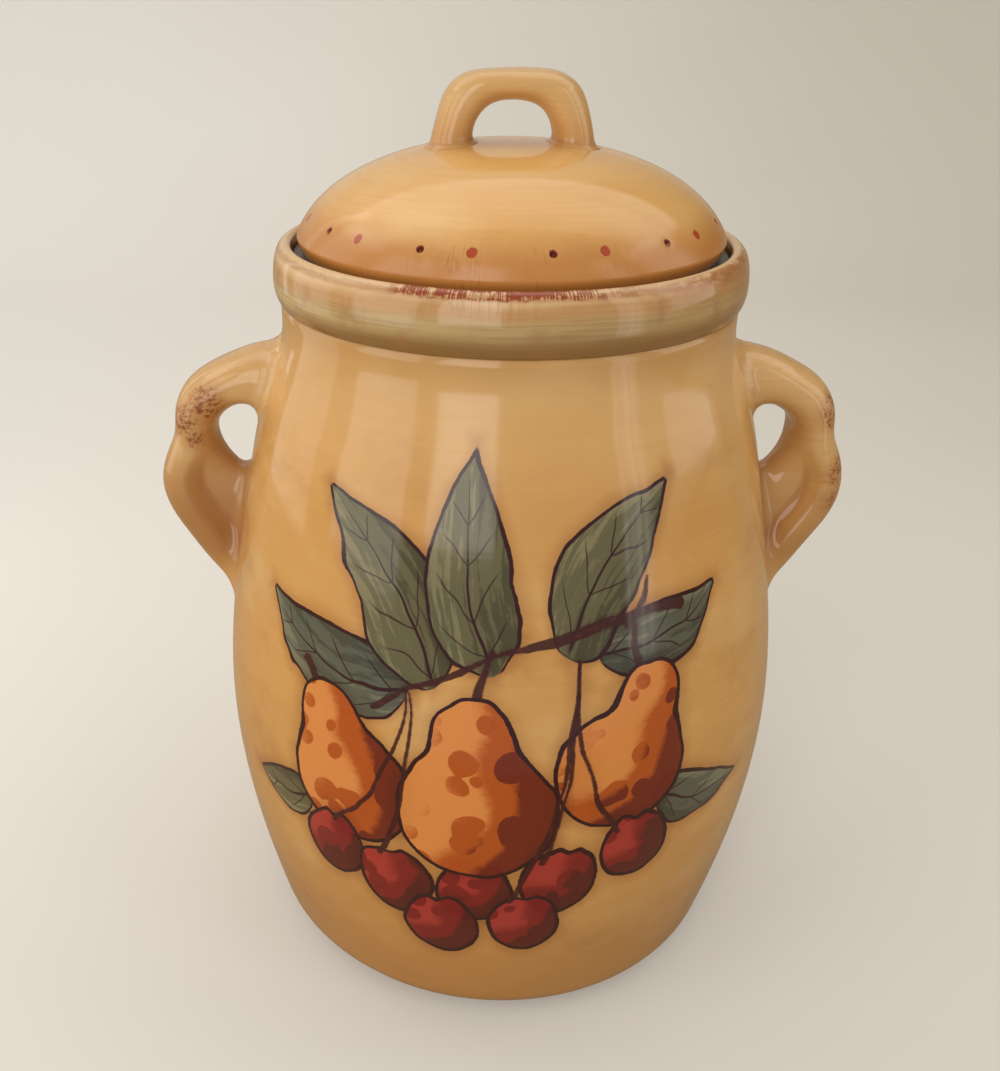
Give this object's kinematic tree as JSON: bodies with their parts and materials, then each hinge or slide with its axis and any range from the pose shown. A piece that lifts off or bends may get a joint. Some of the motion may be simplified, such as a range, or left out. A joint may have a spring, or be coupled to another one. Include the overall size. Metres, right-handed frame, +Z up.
{
  "type": "lidded biscuit jar",
  "caption": "Tall barrel-shaped glazed ceramic biscuit jar with ear handles, a collared mouth, and a domed lid with a loop handle and a gasket.",
  "frame": {"origin": "centre of the foot ring's underside, where the jar stands", "axes": "+Z up along the jar's axis, +X towards the right-hand handle seen from the front, -Y towards the front"},
  "size_m": [0.2368, 0.1976, 0.3045],
  "materials": {
    "body_glaze": "glossy honey glaze with a brushed grain",
    "lid_glaze": "glossy amber glaze",
    "collar_glaze": "glossy sage glaze under an umber wash",
    "bare_clay": "matt unglazed clay",
    "seal_rubber": "soft grey silicone"
  },
  "bodies": {
    "jar": {"jar_barrel": "body_glaze", "rim_collar": "collar_glaze", "foot_ring": "bare_clay", "handle_left": "body_glaze", "handle_right": "body_glaze"},
    "lid": {"lid_dome": "lid_glaze", "lid_flange": "bare_clay", "lid_handle": "lid_glaze", "lid_seal": "seal_rubber"}
  },
  "joints": [
    {"name": "lid_lift", "type": "slide", "parent": "jar", "child": "lid", "axis": [0, 0, 1], "range_m": [0, 0.15]}
  ]
}
